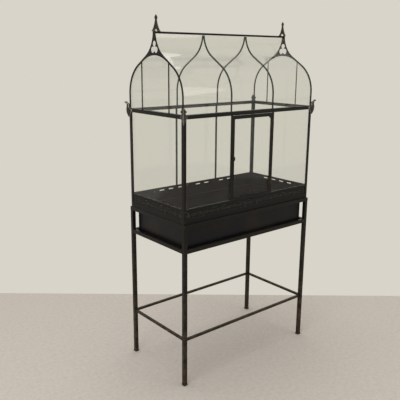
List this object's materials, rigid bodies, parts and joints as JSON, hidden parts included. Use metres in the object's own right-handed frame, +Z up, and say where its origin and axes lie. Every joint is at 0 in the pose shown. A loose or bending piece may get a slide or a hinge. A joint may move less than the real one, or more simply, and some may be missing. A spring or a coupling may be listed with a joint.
{
  "type": "glazed plant case on stand",
  "caption": "Glazed plant case with an ogee roof, hinged door and lift-out planting tray, carried on a four-legged tube stand.",
  "frame": {"origin": "on the floor, under the middle of the case", "axes": "+X along the ridge, -Y towards the door, +Z up"},
  "size_m": [0.7472, 0.3932, 1.4607],
  "materials": {
    "stand_coat": "satin black-brown powder coat on welded steel tube",
    "tray_coat": "smooth satin black coat on folded steel sheet",
    "case_coat": "satin antique black on rolled sections, rubbed brown at the edges",
    "cast_bronze": "antique black castings with bronze highlights",
    "fitting_bronze": "dark antique bronze, worn on the knuckles and knob",
    "foot_plastic": "plain black moulded caps",
    "glass": "clear float glass with a faint grey-green cast"
  },
  "bodies": {
    "stand": {"leg_front_left": "stand_coat", "leg_front_right": "stand_coat", "leg_back_left": "stand_coat", "leg_back_right": "stand_coat", "upper_rail_front": "stand_coat", "upper_rail_back": "stand_coat", "upper_rail_left": "stand_coat", "upper_rail_right": "stand_coat", "lower_rail_front": "stand_coat", "lower_rail_back": "stand_coat", "lower_rail_left": "stand_coat", "lower_rail_right": "stand_coat", "stretcher_front": "stand_coat", "stretcher_back": "stand_coat", "stretcher_left": "stand_coat", "stretcher_right": "stand_coat", "foot_caps": "foot_plastic", "tray_supports": "stand_coat"},
    "tray": {"planting_tray": "tray_coat"},
    "case": {"band_panel_front": "cast_bronze", "eave_rail_front": "case_coat", "band_panel_back": "cast_bronze", "eave_rail_back": "case_coat", "band_panel_left": "cast_bronze", "eave_rail_left": "case_coat", "band_panel_right": "cast_bronze", "eave_rail_right": "case_coat", "corner_post_front_left": "case_coat", "corner_post_front_right": "case_coat", "corner_post_back_left": "case_coat", "corner_post_back_right": "case_coat", "mullion_front_left": "case_coat", "roof_rib_front_left": "case_coat", "mullion_front_right": "case_coat", "roof_rib_front_right": "case_coat", "roof_panes_front": "glass", "mullion_back_left": "case_coat", "roof_rib_back_left": "case_coat", "mullion_back_right": "case_coat", "roof_rib_back_right": "case_coat", "roof_panes_back": "glass", "front_panes": "glass", "back_panes": "glass", "end_panes": "glass", "gable_frame_left": "case_coat", "gable_panes_left": "glass", "finial_left": "cast_bronze", "gable_frame_right": "case_coat", "gable_panes_right": "glass", "finial_right": "cast_bronze", "gable_glazing_bars": "case_coat", "ridge_bar": "case_coat", "corner_leaves": "cast_bronze", "hinge_leaves_case": "fitting_bronze", "hinge_pins": "fitting_bronze"},
    "door": {"door_frame": "case_coat", "door_glass": "glass", "hinge_leaves_door": "fitting_bronze"},
    "latch": {"latch_turn": "fitting_bronze"}
  },
  "joints": [
    {"name": "tray_lift", "type": "slide", "parent": "stand", "child": "tray", "axis": [0, 0, 1], "range_m": [0, 0.12]},
    {"name": "case_lift", "type": "slide", "parent": "stand", "child": "case", "axis": [0, 0, 1], "range_m": [0, 0.1]},
    {"name": "door_hinge", "type": "hinge", "parent": "case", "child": "door", "pos_m": [0.11115, -0.18265, 0.9175], "axis": [0, 0, 1], "range_deg": [0, 110]},
    {"name": "latch_turn", "type": "hinge", "parent": "door", "child": "latch", "pos_m": [-0.10765, -0.18, 0.917], "axis": [0, 1, 0], "range_deg": [0, 90]}
  ]
}
